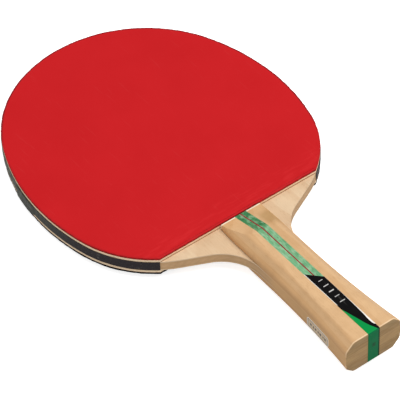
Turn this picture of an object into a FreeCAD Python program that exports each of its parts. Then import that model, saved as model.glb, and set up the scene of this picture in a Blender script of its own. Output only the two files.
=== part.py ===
import FreeCAD, Part
import math
import os
import Sketcher
from FreeCAD import Placement, Rotation, Vector

# Table tennis paddle, millimetres. Y runs from the butt to the tip of the blade, Z out of
# the forehand face, X across. The origin is the middle of the paddle: half its length, its
# width and its thickness. Everything is glued, so nothing moves.

SIZES = (
    # the blade outline
    ("head_length", 153.8, "tip of the blade to the front of the handle"),
    ("head_width", 150.0, "widest part of the head"),
    ("widest_from_tip", 89.8, "how far below the tip the head is widest"),
    ("tip_arc_angle", 65.3, "sweep of the arc on each side of the tip, degrees"),
    ("side_arc_angle", 15.5, "sweep of the side arc below the widest line, degrees"),
    ("shoulder_width", 79.6, "width of the head where the straight shoulders start"),
    ("shoulder_drop", 4.2, "how far below the front of the handle that is"),
    ("shoulder_angle", 25.6, "slope of the straight shoulder, degrees"),
    ("neck_radius", 24.0, "hollow arc between shoulder and handle"),
    # the five glued plies of the blade
    ("core_ply", 2.2, "thickness of the light core"),
    ("inner_ply", 1.2, "thickness of each ply beside the core"),
    ("outer_ply", 0.6, "thickness of each face ply"),
    # the handle
    ("handle_length", 102.4, "butt to the front of the scales"),
    ("waist_width", 25.6, "narrowest part of the grip"),
    ("front_narrowing", 0.7, "how far each side of the scales draws in at their front end"),
    ("front_taper", 16.5, "length over which the scales widen to the waist"),
    ("butt_flare", 3.8, "how far each side of the grip spreads from waist to butt"),
    ("flare_length", 62.0, "length of the flare, up from the butt"),
    ("scale_height", 7.3, "thickness of each scale on the blade"),
    ("scale_bevel", 4.4, "bevel along the outer edges of a scale"),
    ("bevel_round", 3.0, "rounding of the two edges of that bevel, where they leave room"),
    ("butt_round", 0.6, "rounding of a scale's top edge at the butt"),
    ("foot_round", 0.4, "rounding of the low front edge of a scale"),
    ("ramp_length", 17.6, "slope at the front of a scale"),
    ("ramp_start", 2.7, "height of a scale at the foot of its slope"),
    # the stripe of dyed wood let into each scale
    ("stripe_width", 6.8, "both dyed strips and the line between them"),
    ("stripe_line", 0.6, "dark line in the middle of the stripe"),
    # the rubbers
    ("rubber_gap", 0.8, "rubber edge to the front of the handle"),
    ("glue_film", 0.1, "glue between blade and sponge"),
    ("sponge", 1.3, "thickness of the sponge"),
    ("pips", 0.6, "height of the pips under the skin"),
    ("skin", 0.8, "thickness of the skin that plays the ball"),
    ("pip_inset", 0.5, "how far the outer pips stand in from the edge"),
    # tape and labels
    ("tape", 0.3, "thickness of the edge tape"),
    ("label_film", 0.12, "thickness of the printed labels"),
    ("label_width", 6.9, "handle label across the grip"),
    ("label_length", 48.3, "handle label up the forehand scale, at its long side"),
    ("label_slant", 7.3, "how much shorter its other side is"),
    ("side_label_length", 17.6, "label on the side of the grip"),
    ("side_label_height", 6.5, "the same, across the grip"),
    ("side_label_from_butt", 15.2, "lower end of the side label to the butt"),
    ("side_label_drop", 1.7, "middle of the side label below the middle of the blade"),
    ("side_label_round", 1.6, "corner radius of the side label"),
)

# Heights and places that follow from the sizes above, worked out in the sheet. The bevel is
# cut at 45 degrees, so a round of radius r takes r * tan(22.5 deg) of the flats beside it;
# bevel_room is what those flats can spare.
DERIVED = (
    ("tip_y", "=(head_length + handle_length) / 2"),
    ("front_y", "=tip_y - head_length"),
    ("rubber_y", "=front_y + rubber_gap"),
    ("inner_z", "=core_ply / 2"),
    ("outer_z", "=inner_z + inner_ply"),
    ("face_z", "=outer_z + outer_ply"),
    ("sponge_z", "=face_z + glue_film"),
    ("pips_z", "=sponge_z + sponge"),
    ("skin_z", "=pips_z + pips"),
    ("scale_z", "=face_z + scale_height"),
    ("pip_edge", "=0 - pip_inset"),
    ("front_width", "=waist_width - 2 * front_narrowing"),
    ("butt_width", "=waist_width + 2 * butt_flare"),
    ("bevel_foot", "=scale_height - scale_bevel"),
    ("bevel_room", "=0.95 * min(bevel_foot; scale_bevel / sqrt(2))"),
    ("bevel_curve", "=min(bevel_round; bevel_room / tan(22.5 deg))"),
)


def make_sheet(doc):
    """Every size in one spreadsheet: name, value and what it measures."""
    sheet = doc.addObject("Spreadsheet::Sheet", "sizes")
    rows = [(name, str(value), note) for name, value, note in SIZES]
    rows += [(name, formula, "follows from the sizes above") for name, formula in DERIVED]
    for row, (name, value, note) in enumerate(rows, start=1):
        sheet.set("A%d" % row, name)
        sheet.set("B%d" % row, value)
        sheet.setAlias("B%d" % row, name)
        sheet.set("C%d" % row, note)
    doc.recompute()
    return sheet


def size(doc, name):
    return float(doc.sizes.get(name))


def bind(thing, **formulas):
    """Tie properties to the sheet; a double underscore stands for a dot."""
    for path, formula in formulas.items():
        thing.setExpression(path.replace("__", "."), formula)


def plane(body, role):
    return next(item for item in body.Origin.OriginFeatures if item.Role == role)


def new_body(doc, label):
    body = doc.addObject("PartDesign::Body", label)
    body.Label = label
    return body


def new_sketch(body, name, role="XY_Plane"):
    sketch = body.newObject("Sketcher::SketchObject", name)
    sketch.AttachmentSupport = (plane(body, role), [""])
    sketch.MapMode = "FlatFace"
    return sketch


def arc(centre, radius, start, end):
    circle = Part.Circle(Vector(centre[0], centre[1], 0), Vector(0, 0, 1), radius)
    return Part.ArcOfCircle(circle, math.radians(start), math.radians(end))


def line(start, end):
    return Part.LineSegment(Vector(start[0], start[1], 0), Vector(end[0], end[1], 0))


def at_angle(centre, radius, angle):
    turn = math.radians(angle)
    return (centre[0] + radius * math.cos(turn), centre[1] + radius * math.sin(turn))


def relate(sketch, *relations):
    for relation in relations:
        sketch.addConstraint(Sketcher.Constraint(*relation))


def dimension(sketch, value, formula, kind, *where):
    """Add one driving dimension at its present value and tie it to the sheet."""
    index = sketch.addConstraint(Sketcher.Constraint(kind, *where, value))
    sketch.setExpression("Constraints[%d]" % index, formula)


START, END, CENTRE = 1, 2, 3
ORIGIN = (-1, 1)
X_AXIS = (-1, 1)
Y_AXIS = -2
HALF_TURN = Rotation(Vector(0, 1, 0), 180)


def head_side(doc, grow):
    """Centres and radii of the four arcs on one side of the head.

    Each pair of arcs meets without a kink. The tip and side arcs join the tip to the widest
    point; the side and heel arcs join the widest point to the straight shoulder.
    """
    half = size(doc, "head_width") / 2
    tip = size(doc, "tip_y")
    wide = tip - size(doc, "widest_from_tip")
    rise = tip - wide
    upper = 90 - size(doc, "tip_arc_angle")
    turn = math.radians(upper)
    spread = (rise - half) / (math.sin(turn) + math.cos(turn) - 1)
    tip_radius = half - spread * (1 - math.cos(turn))
    upper_radius = tip_radius + spread

    lower = size(doc, "side_arc_angle")
    heel_end = 90 - size(doc, "shoulder_angle")
    low_cos, low_sin = at_angle((0, 0), 1, lower)
    end_cos, end_sin = at_angle((0, 0), 1, heel_end)
    across = size(doc, "shoulder_width") / 2 - half
    down = size(doc, "front_y") - size(doc, "shoulder_drop") - wide
    scale = (low_cos - 1) * (low_sin - end_sin) + (end_cos - low_cos) * low_sin
    lower_radius = (across * (low_sin - end_sin) - down * (end_cos - low_cos)) / scale
    heel_radius = ((low_cos - 1) * down + low_sin * across) / scale

    upper_centre = (half - upper_radius, wide)
    lower_centre = (half - lower_radius, wide)
    heel_centre = at_angle(lower_centre, lower_radius - heel_radius, -lower)
    return (
        arc((0, tip - tip_radius), tip_radius + grow, upper, 90),
        arc(upper_centre, upper_radius + grow, 0, upper),
        arc(lower_centre, lower_radius + grow, -lower, 0),
        arc(heel_centre, heel_radius + grow, -heel_end, -lower),
    )


def draw_blade_outline(doc, sketch, grow):
    """Right half of the blade, from the tip round the head and neck down to the butt.

    grow is the name of the size by which the outline stands outside the bare blade.
    """
    extra = size(doc, grow) if grow else 0
    plus = " + sizes.%s" % grow if grow else ""
    arcs = head_side(doc, extra)
    slope = size(doc, "shoulder_angle")
    waist = size(doc, "waist_width") / 2 + extra
    butt = size(doc, "butt_width") / 2 + extra
    bottom = -size(doc, "tip_y") - extra
    flare_top = bottom + extra + size(doc, "flare_length")
    neck = size(doc, "neck_radius") - extra

    shoulder_start = arcs[3].StartPoint
    run = neck * math.tan(math.radians((90 - slope) / 2))
    corner_y = shoulder_start.y - (shoulder_start.x - waist) * math.tan(math.radians(slope))
    neck_centre = (waist + neck, corner_y - run)
    neck_start = at_angle(neck_centre, neck, 90 + slope)
    fall = flare_top - bottom
    flare = (fall ** 2 + (butt - waist) ** 2) / (2 * (butt - waist))
    flare_sweep = math.degrees(math.asin(fall / flare))

    tip_arc, upper_arc, lower_arc, heel, shoulder, hollow, grip, flared, end, axis = (
        sketch.addGeometry(shape) for shape in (
            arcs[0],
            arcs[1],
            arcs[2],
            arcs[3],
            line((shoulder_start.x, shoulder_start.y), neck_start),
            arc(neck_centre, neck, 90 + slope, 180),
            line((waist, neck_centre[1]), (waist, flare_top)),
            arc((waist + flare, flare_top), flare, 180, 180 + flare_sweep),
            line((butt, bottom), (0, bottom)),
            line((0, bottom), (0, size(doc, "tip_y") + extra)),
        )
    )
    relate(
        sketch,
        ("Tangent", tip_arc, START, upper_arc, END),
        ("Tangent", upper_arc, START, lower_arc, END),
        ("Tangent", lower_arc, START, heel, END),
        ("Tangent", heel, START, shoulder, START),
        ("Tangent", shoulder, END, hollow, START),
        ("Tangent", hollow, END, grip, START),
        ("Tangent", grip, END, flared, START),
        ("Coincident", flared, END, end, START),
        ("Coincident", end, END, axis, START),
        ("Coincident", axis, END, tip_arc, END),
        ("PointOnObject", tip_arc, CENTRE, Y_AXIS),
        ("PointOnObject", axis, START, Y_AXIS),
        ("PointOnObject", axis, END, Y_AXIS),
        ("Horizontal", upper_arc, START, upper_arc, CENTRE),
        ("Vertical", grip),
        ("Horizontal", end),
    )
    tip = size(doc, "tip_y")
    wide = tip - size(doc, "widest_from_tip")
    shoulder_x = "sizes.shoulder_width / 2"
    shoulder_y = "sizes.shoulder_drop - sizes.front_y"
    if grow:
        shoulder_x += plus + " * sin(sizes.shoulder_angle * 1deg)"
        shoulder_y += plus + " * cos(sizes.shoulder_angle * 1deg)"
    dimension(sketch, tip + extra, "sizes.tip_y" + plus,
              "DistanceY", *ORIGIN, axis, END)
    dimension(sketch, -bottom, "sizes.tip_y" + plus,
              "DistanceY", axis, START, *ORIGIN)
    dimension(sketch, size(doc, "head_width") / 2 + extra, "sizes.head_width / 2" + plus,
              "DistanceX", *ORIGIN, upper_arc, START)
    dimension(sketch, wide, "sizes.tip_y - sizes.widest_from_tip",
              "DistanceY", *ORIGIN, upper_arc, START)
    dimension(sketch, math.radians(size(doc, "tip_arc_angle")),
              "sizes.tip_arc_angle * 1deg", "Angle", tip_arc)
    dimension(sketch, math.radians(size(doc, "side_arc_angle")),
              "sizes.side_arc_angle * 1deg", "Angle", lower_arc)
    dimension(sketch, shoulder_start.x, shoulder_x,
              "DistanceX", *ORIGIN, heel, START)
    dimension(sketch, -shoulder_start.y, shoulder_y,
              "DistanceY", heel, START, *ORIGIN)
    dimension(sketch, math.radians(slope), "sizes.shoulder_angle * 1deg",
              "Angle", *X_AXIS, shoulder, END)
    dimension(sketch, neck, "sizes.neck_radius" + plus.replace("+", "-"), "Radius", hollow)
    dimension(sketch, waist, "sizes.waist_width / 2" + plus,
              "DistanceX", *ORIGIN, grip, START)
    dimension(sketch, -flare_top, "sizes.tip_y - sizes.flare_length",
              "DistanceY", grip, END, *ORIGIN)
    dimension(sketch, butt, "sizes.butt_width / 2" + plus,
              "DistanceX", *ORIGIN, end, START)


def mirror_across(body, feature):
    """Fuse a feature with its reflection on the other side of the YZ plane."""
    mirrored = body.newObject("PartDesign::Mirrored", body.Name + "_both_sides")
    mirrored.Originals = [feature]
    mirrored.MirrorPlane = (plane(body, "YZ_Plane"), [""])
    body.Tip = mirrored
    return mirrored


def blade_slab(doc, label, bottom, thickness, grow=None):
    """A slab of the blade's outline whose underside lies at the height named bottom."""
    body = new_body(doc, label)
    sketch = new_sketch(body, label + "_outline")
    draw_blade_outline(doc, sketch, grow)
    pad = body.newObject("PartDesign::Pad", label + "_pad")
    pad.Profile = sketch
    bind(pad, Length=thickness)
    mirror_across(body, pad)
    bind(body, Placement__Base__z=bottom)
    return body


def box(doc, name, **formulas):
    block = doc.addObject("Part::Box", name)
    bind(block, **formulas)
    return block


def boolean(doc, kind, label, base, tool):
    result = doc.addObject("Part::" + kind, label)
    result.Label = label
    result.Base = base
    result.Tool = tool
    return result


def head_zone(doc, name, start):
    """A block that keeps the head above the height of start along the blade."""
    return box(
        doc, name,
        Length="2 * sizes.head_width",
        Width="2 * sizes.head_length",
        Height="4 * sizes.scale_z",
        Placement__Base__x="-sizes.head_width",
        Placement__Base__y=start,
        Placement__Base__z="-2 * sizes.scale_z",
    )


def make_plies(doc):
    """Five plies; the two pairs outside the core mirror each other."""
    layers = (
        ("core_ply", "-sizes.inner_z", "sizes.core_ply"),
        ("forehand_inner_ply", "sizes.inner_z", "sizes.inner_ply"),
        ("forehand_outer_ply", "sizes.outer_z", "sizes.outer_ply"),
        ("backhand_inner_ply", "-sizes.outer_z", "sizes.inner_ply"),
        ("backhand_outer_ply", "-sizes.face_z", "sizes.outer_ply"),
    )
    return [blade_slab(doc, *layer) for layer in layers]


def make_rubbers(doc):
    """Glue film, sponge and pimpled topsheet on each face, cut off above the handle."""
    whole = head_zone(doc, "rubber_zone", "sizes.rubber_y")
    inside = head_zone(doc, "pip_zone", "sizes.rubber_y + sizes.pip_inset")
    glue = blade_slab(doc, "glue_slab", "sizes.face_z", "sizes.glue_film")
    sponge = blade_slab(doc, "sponge_slab", "sizes.sponge_z", "sizes.sponge")
    pips = blade_slab(doc, "pip_slab", "sizes.pips_z", "sizes.pips", "pip_edge")
    skin = blade_slab(doc, "skin_slab", "sizes.skin_z", "sizes.skin")
    parts = []
    for side, turned in (("forehand", False), ("backhand", True)):
        pip_layer = boolean(doc, "Common", side + "_pip_layer", pips, inside)
        skin_layer = boolean(doc, "Common", side + "_skin_layer", skin, whole)
        layers = [
            boolean(doc, "Common", side + "_glue_film", glue, whole),
            boolean(doc, "Common", side + "_sponge", sponge, whole),
            boolean(doc, "Fuse", side + "_topsheet", skin_layer, pip_layer),
        ]
        for layer in layers:
            layer.Placement = Placement(Vector(), HALF_TURN if turned else Rotation())
        parts += layers
    return parts


def make_tape(doc):
    """Tape round the edge of the bare blade, from one rubber corner to the other."""
    zone = head_zone(doc, "tape_zone", "sizes.rubber_y")
    outer = blade_slab(doc, "tape_slab", "-sizes.face_z", "2 * sizes.face_z", "tape")
    inner = blade_slab(doc, "blade_slab", "-sizes.face_z", "2 * sizes.face_z")
    band = boolean(doc, "Common", "tape_band", outer, zone)
    return boolean(doc, "Cut", "edge_tape", band, inner)


def draw_scale_outline(doc, sketch):
    """Right half of a scale seen from above: front, waist, flare and butt."""
    front = size(doc, "front_width") / 2
    waist = size(doc, "waist_width") / 2
    butt = size(doc, "butt_width") / 2
    top = size(doc, "front_y")
    bottom = -size(doc, "tip_y")
    taper = size(doc, "front_taper")
    fall = size(doc, "flare_length")
    nose = (taper ** 2 + (waist - front) ** 2) / (2 * (waist - front))
    flare = (fall ** 2 + (butt - waist) ** 2) / (2 * (butt - waist))
    nose_sweep = math.degrees(math.asin(taper / nose))
    flare_sweep = math.degrees(math.asin(fall / flare))
    flare_top = bottom + fall

    front_line, rounded, grip, flared, end, axis = (
        sketch.addGeometry(shape) for shape in (
            line((0, top), (front, top)),
            arc((waist - nose, top - taper), nose, 0, nose_sweep),
            line((waist, top - taper), (waist, flare_top)),
            arc((waist + flare, flare_top), flare, 180, 180 + flare_sweep),
            line((butt, bottom), (0, bottom)),
            line((0, bottom), (0, top)),
        )
    )
    relate(
        sketch,
        ("Coincident", front_line, END, rounded, END),
        ("Tangent", rounded, START, grip, START),
        ("Tangent", grip, END, flared, START),
        ("Coincident", flared, END, end, START),
        ("Coincident", end, END, axis, START),
        ("Coincident", axis, END, front_line, START),
        ("PointOnObject", axis, START, Y_AXIS),
        ("PointOnObject", axis, END, Y_AXIS),
        ("Horizontal", front_line),
        ("Vertical", grip),
        ("Horizontal", end),
    )
    dimension(sketch, -top, "-sizes.front_y", "DistanceY", axis, END, *ORIGIN)
    dimension(sketch, -bottom, "sizes.tip_y", "DistanceY", axis, START, *ORIGIN)
    dimension(sketch, front, "sizes.front_width / 2", "DistanceX", *ORIGIN, front_line, END)
    dimension(sketch, waist, "sizes.waist_width / 2", "DistanceX", *ORIGIN, grip, START)
    dimension(sketch, butt, "sizes.butt_width / 2", "DistanceX", *ORIGIN, end, START)
    dimension(sketch, taper, "sizes.front_taper", "DistanceY", grip, START, axis, END)
    dimension(sketch, fall, "sizes.flare_length", "DistanceY", end, START, grip, END)


def draw_polygon(sketch, corners):
    """Closed outline through corners given as (value, formula) pairs for each coordinate."""
    points = [(across[0], along[0]) for across, along in corners]
    count = len(points)
    edges = [
        sketch.addGeometry(line(points[i], points[(i + 1) % count])) for i in range(count)
    ]
    for i, (across, along) in enumerate(corners):
        relate(sketch, ("Coincident", edges[i - 1], END, edges[i], START))
        for kind, (value, formula) in (("DistanceX", across), ("DistanceY", along)):
            if value < 0:
                dimension(sketch, -value, "-(%s)" % formula, kind, edges[i], START, *ORIGIN)
            else:
                dimension(sketch, value, formula, kind, *ORIGIN, edges[i], START)


def soften(body, kind, name, wanted, formula):
    """Chamfer or fillet those edges of the body's last feature for which wanted is true."""
    base = body.Tip
    edges = enumerate(base.Shape.Edges, start=1)
    tool = body.newObject("PartDesign::" + kind, name)
    tool.Base = (base, ["Edge%d" % number for number, edge in edges if wanted(edge)])
    bind(tool, **{"Size" if kind == "Chamfer" else "Radius": formula})
    body.Document.recompute()


def make_scale_blank(doc):
    """One whole scale on the forehand face of the blade, before it is cut into strips."""
    body = new_body(doc, "scale_blank")
    outline = new_sketch(body, "scale_outline")
    draw_scale_outline(doc, outline)
    pad = body.newObject("PartDesign::Pad", "scale_pad")
    pad.Profile = outline
    bind(pad, Length="sizes.scale_height")
    mirror_across(body, pad)
    doc.recompute()

    top = size(doc, "scale_height")
    bevel_foot = size(doc, "bevel_foot")
    butt = -size(doc, "tip_y")
    front = size(doc, "front_y")
    near = 0.01

    def ends(edge, axis):
        return [getattr(vertex.Point, axis) for vertex in edge.Vertexes]

    def runs_along(edge, height):
        level = all(abs(z - height) < near for z in ends(edge, "z"))
        start, stop = ends(edge, "y")
        return level and abs(start - stop) > near

    def on_butt(edge):
        return all(abs(y - butt) < near for y in ends(edge, "y"))

    def on_foot(edge):
        at_front = all(abs(y - front) < near for y in ends(edge, "y"))
        return at_front and min(ends(edge, "z")) > near

    soften(body, "Chamfer", "scale_bevels", lambda edge: runs_along(edge, top),
           "sizes.scale_bevel")
    soften(body, "Fillet", "bevel_rounds",
           lambda edge: runs_along(edge, top) or runs_along(edge, bevel_foot),
           "sizes.bevel_curve")
    soften(body, "Fillet", "butt_rounds",
           lambda edge: on_butt(edge) and min(ends(edge, "z")) > near,
           "sizes.butt_round")

    slope = new_sketch(body, "ramp_profile", "YZ_Plane")
    foot = (front, "sizes.front_y")
    crest = (front - size(doc, "ramp_length"), "sizes.front_y - sizes.ramp_length")
    above = (2 * top, "2 * sizes.scale_height")
    draw_polygon(slope, (
        (foot, (size(doc, "ramp_start"), "sizes.ramp_start")),
        (foot, above),
        (crest, above),
        (crest, (top, "sizes.scale_height")),
    ))
    ramp = body.newObject("PartDesign::Pocket", "ramp")
    ramp.Profile = slope
    ramp.Type = "ThroughAll"
    ramp.Midplane = True
    body.Tip = ramp
    doc.recompute()
    soften(body, "Fillet", "foot_round", on_foot, "sizes.foot_round")
    bind(body, Placement__Base__z="sizes.face_z")
    return body


def make_scales(doc):
    """Both scales, each sawn along its length into wood, dyed stripe, line, stripe, wood."""
    blank = make_scale_blank(doc)
    strips = (
        ("left_scale", "-sizes.butt_width", "-sizes.stripe_width / 2"),
        ("left_stripe", "-sizes.stripe_width / 2", "-sizes.stripe_line / 2"),
        ("stripe_line", "-sizes.stripe_line / 2", "sizes.stripe_line / 2"),
        ("right_stripe", "sizes.stripe_line / 2", "sizes.stripe_width / 2"),
        ("right_scale", "sizes.stripe_width / 2", "sizes.butt_width"),
    )
    other_side = {
        "left_scale": "right_scale",
        "left_stripe": "right_stripe",
        "stripe_line": "stripe_line",
        "right_stripe": "left_stripe",
        "right_scale": "left_scale",
    }
    parts = []
    for name, left, right in strips:
        cutter = box(
            doc, name + "_zone",
            Length="%s - (%s)" % (right, left),
            Width="2 * sizes.handle_length",
            Height="2 * sizes.scale_z",
            Placement__Base__x=left,
            Placement__Base__y="-sizes.tip_y - sizes.handle_length / 2",
        )
        parts.append(boolean(doc, "Common", "forehand_" + name, blank, cutter))
        turned = boolean(doc, "Common", "backhand_" + other_side[name], blank, cutter)
        turned.Placement = Placement(Vector(), HALF_TURN)
        parts.append(turned)
    return parts


def draw_strap(doc, sketch):
    """Side view of the handle label: along the forehand scale and down over the butt."""
    bend = size(doc, "butt_round")
    top = size(doc, "scale_z")
    butt = -size(doc, "tip_y")
    film = size(doc, "label_film")
    start = butt + size(doc, "label_length")
    surfaces = []
    for rise, plus in ((0, ""), (film, " + sizes.label_film")):
        flat, fold, face = (
            sketch.addGeometry(shape) for shape in (
                line((start, top + rise), (butt + bend, top + rise)),
                arc((butt + bend, top - bend), bend + rise, 90, 180),
                line((butt - rise, top - bend), (butt - rise, bend - top)),
            )
        )
        relate(
            sketch,
            ("Tangent", flat, END, fold, START),
            ("Tangent", fold, END, face, START),
            ("Horizontal", flat),
            ("Vertical", face),
        )
        for kind, value, formula, where in (
            ("DistanceX", -start, "sizes.tip_y - sizes.label_length", (flat, START, *ORIGIN)),
            ("DistanceX", rise - butt, "sizes.tip_y" + plus, (face, START, *ORIGIN)),
            ("DistanceY", top + rise, "sizes.scale_z" + plus, (*ORIGIN, flat, START)),
            ("DistanceY", top - bend, "sizes.scale_z - sizes.butt_round",
             (face, END, *ORIGIN)),
            ("Radius", bend + rise, "sizes.butt_round" + plus, (fold,)),
        ):
            dimension(sketch, value, formula, kind, *where)
        surfaces.append((flat, face))
    (inner_flat, inner_face), (outer_flat, outer_face) = surfaces
    for inner, outer, end, points in (
        (inner_flat, outer_flat, START, ((start, top), (start, top + film))),
        (inner_face, outer_face, END, ((butt, bend - top), (butt - film, bend - top))),
    ):
        edge = sketch.addGeometry(line(*points))
        relate(
            sketch,
            ("Coincident", inner, end, edge, START),
            ("Coincident", edge, END, outer, end),
        )


def make_handle_label(doc):
    """Printed film on the forehand scale, cut at a slant and folded down over the butt."""
    body = new_body(doc, "handle_label")
    strap = new_sketch(body, "label_profile", "YZ_Plane")
    draw_strap(doc, strap)
    pad = body.newObject("PartDesign::Pad", "label_pad")
    pad.Profile = strap
    pad.Midplane = True
    bind(pad, Length="sizes.label_width")
    body.Tip = pad
    slant = new_sketch(body, "label_slant")
    half = size(doc, "label_width") / 2
    high = size(doc, "label_length") - size(doc, "tip_y")
    right = (half, "sizes.label_width / 2")
    level = (high, "sizes.label_length - sizes.tip_y")
    draw_polygon(slant, (
        ((-half, "-sizes.label_width / 2"), level),
        (right, (high - size(doc, "label_slant"),
                 "sizes.label_length - sizes.tip_y - sizes.label_slant")),
        (right, level),
    ))
    cut = body.newObject("PartDesign::Pocket", "slanted_end")
    cut.Profile = slant
    cut.Type = "ThroughAll"
    cut.Reversed = True
    body.Tip = cut
    return body


def make_side_label(doc):
    """Small printed film on the left side of the grip, bent to the flare."""
    window = new_body(doc, "side_label_window")
    frame = new_sketch(window, "side_label_frame", "YZ_Plane")
    low = size(doc, "side_label_from_butt") - size(doc, "tip_y")
    tall = low + size(doc, "side_label_length")
    middle = -size(doc, "side_label_drop")
    half = size(doc, "side_label_height") / 2
    low_y = (low, "sizes.side_label_from_butt - sizes.tip_y")
    high_y = (tall, "sizes.side_label_from_butt + sizes.side_label_length - sizes.tip_y")
    edge = "sizes.side_label_height / 2 - sizes.side_label_drop"
    low_z = (middle - half, "-sizes.side_label_height / 2 - sizes.side_label_drop")
    high_z = (middle + half, edge)
    draw_polygon(frame, ((low_y, low_z), (high_y, low_z), (high_y, high_z), (low_y, high_z)))
    pad = window.newObject("PartDesign::Pad", "side_label_pad")
    pad.Profile = frame
    pad.Reversed = True
    bind(pad, Length="sizes.butt_width")
    window.Tip = pad
    doc.recompute()
    soften(window, "Fillet", "side_label_corners",
           lambda shape: abs(shape.Vertexes[0].Point.x - shape.Vertexes[-1].Point.x) > half,
           "sizes.side_label_round")

    full = ("-sizes.scale_z", "2 * sizes.scale_z")
    outer = blade_slab(doc, "label_slab", *full, "label_film")
    grip = blade_slab(doc, "grip_slab", *full)
    patch = boolean(doc, "Common", "side_label_patch", outer, window)
    return boolean(doc, "Cut", "side_label", patch, grip)


def check(doc, parts):
    """Stop before anything is written if an object failed or a piece isn't one solid."""
    for item in doc.Objects:
        if "Invalid" in item.State or "Error" in item.State:
            raise RuntimeError("%s: %s" % (item.Name, item.State))
    for part in parts:
        shape = part.Shape
        if shape.isNull() or not shape.isValid() or len(shape.Solids) != 1:
            raise RuntimeError("%s is not one sound solid" % part.Label)


def main():
    doc = FreeCAD.newDocument("table_tennis_paddle")
    make_sheet(doc)
    parts = make_plies(doc)
    parts += make_rubbers(doc)
    parts.append(make_tape(doc))
    parts += make_scales(doc)
    parts.append(make_handle_label(doc))
    parts.append(make_side_label(doc))
    doc.recompute()
    check(doc, parts)
    os.makedirs("parts", exist_ok=True)
    for part in parts:
        part.Shape.exportStep("parts/%s.step" % part.Label)


main()
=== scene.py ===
import math
import random

import bmesh
import bpy
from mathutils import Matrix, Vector, noise


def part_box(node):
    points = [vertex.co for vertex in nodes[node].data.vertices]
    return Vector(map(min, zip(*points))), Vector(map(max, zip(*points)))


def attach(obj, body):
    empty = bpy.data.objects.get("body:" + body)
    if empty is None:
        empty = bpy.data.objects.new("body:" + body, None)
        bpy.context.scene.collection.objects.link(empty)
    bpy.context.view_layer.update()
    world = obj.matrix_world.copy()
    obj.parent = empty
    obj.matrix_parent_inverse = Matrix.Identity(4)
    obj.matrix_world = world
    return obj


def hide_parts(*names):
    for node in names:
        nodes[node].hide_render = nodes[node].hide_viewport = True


# Table tennis paddle. Metres, in the CAD model's frame: Y runs from the butt to the tip of
# the blade, Z out of the forehand face, X across. Everything is glued to one body. Shaders
# work in millimetres.

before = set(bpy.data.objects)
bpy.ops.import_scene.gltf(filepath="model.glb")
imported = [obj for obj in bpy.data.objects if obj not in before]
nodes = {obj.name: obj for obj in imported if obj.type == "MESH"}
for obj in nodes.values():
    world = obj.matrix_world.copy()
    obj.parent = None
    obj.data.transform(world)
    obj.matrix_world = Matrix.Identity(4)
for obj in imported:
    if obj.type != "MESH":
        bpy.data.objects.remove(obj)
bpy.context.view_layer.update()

MM = 0.001
BODY = "root"
MERGE = 1e-6                                # corners nearer than this are one

# ---------------------------------------------------------------- places read from the CAD

SHEET_LOW, SHEET_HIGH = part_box("forehand_topsheet")
SPONGE_LOW, SPONGE_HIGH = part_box("forehand_sponge")
SCALE_LOW, SCALE_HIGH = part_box("forehand_left_scale")
SIDE_LOW, SIDE_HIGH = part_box("side_label")
TAPE_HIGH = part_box("edge_tape")[1]
LABEL_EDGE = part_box("handle_label")[1].x
FACE_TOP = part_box("forehand_outer_ply")[1].z
BUTT = SCALE_LOW.y
SCALE_FRONT = SCALE_HIGH.y
SCALE_TOP = SCALE_HIGH.z
RAMP_CREST = SCALE_FRONT - 17.6 * MM        # where the slope at a scale's front ends
RUBBER_TOP = SHEET_HIGH.z
RUBBER_EDGE = SHEET_LOW.y

# ---------------------------------------------------------------- sizes of the fine details

PIP_HEIGHT = 0.6 * MM
PIP_RADIUS = 0.85 * MM
PIP_PITCH = 2.2 * MM
CUT_STEP = 0.55 * MM                        # between corners along a cut edge
NICK_SPACING = 7                            # steps of the cut to one small tear
LAP_TOP_Y, LAP_FOOT_Y = 63 * MM, 44 * MM    # the tape's lap, along the left edge
LAP_DROP = 1.25 * MM                        # how far the lap slants down as it lifts

# Edges cut by hand, in millimetres: (height, how far the edge stands back from the blade's
# outline). A foot is measured up from the sheet's inner face, a rim down from its outer one.
SPONGE_FOOT = ((0.0, -0.08), (0.3, -0.16), (0.7, -0.13))
SPONGE_RIM = ((0.2, -0.16), (0.0, -0.1))
SKIN_FOOT = ((0.0, -0.1), (0.12, -0.18))
SKIN_RIM = ((0.26, -0.18), (0.1, -0.1), (0.04, 0.04), (0.015, 0.25), (0.008, 0.65), (0.0, 1.0))

# Places on the wood, in millimetres.
NECK_FOOT, NECK_OPEN = -66.0, -52.0         # the blade's neck comes clear of the scales
SLOPE_SHADE_SPOT = Vector((8.2, -38.0))                # patch of painted shade on the right of the forehand's slope


# ---------------------------------------------------------------- node helpers

def paint(red, green, blue):
    """A colour given as 0-255 screen values, as the linear colour a shader takes."""
    def linear(value):
        value /= 255
        return value / 12.92 if value <= 0.04045 else ((value + 0.055) / 1.055) ** 2.4
    return (linear(red), linear(green), linear(blue), 1.0)


def feed(tree, socket, value):
    """Join a socket to another's output, or set it to a plain value."""
    if isinstance(value, bpy.types.NodeSocket):
        tree.links.new(value, socket)
    else:
        socket.default_value = value


def add(tree, kind, inputs=None, **settings):
    """One node of that kind, its settings made and its inputs fed by name or number."""
    made = tree.nodes.new(kind)
    for name, value in settings.items():
        setattr(made, name, value)
    for name, value in (inputs or {}).items():
        feed(tree, made.inputs[name], value)
    return made


def calc(tree, operation, *values, clamp=False):
    """The result of one maths node."""
    return add(tree, "ShaderNodeMath", dict(enumerate(values)), operation=operation,
               use_clamp=clamp).outputs[0]


def ramp(tree, value, start, stop, low=0.0, high=1.0):
    """Smooth step of value from low at start to high at stop."""
    turned = add(tree, "ShaderNodeMapRange", {
        "Value": value, "From Min": start, "From Max": stop, "To Min": low, "To Max": high,
    }, interpolation_type="SMOOTHSTEP")
    return turned.outputs["Result"]


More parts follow.
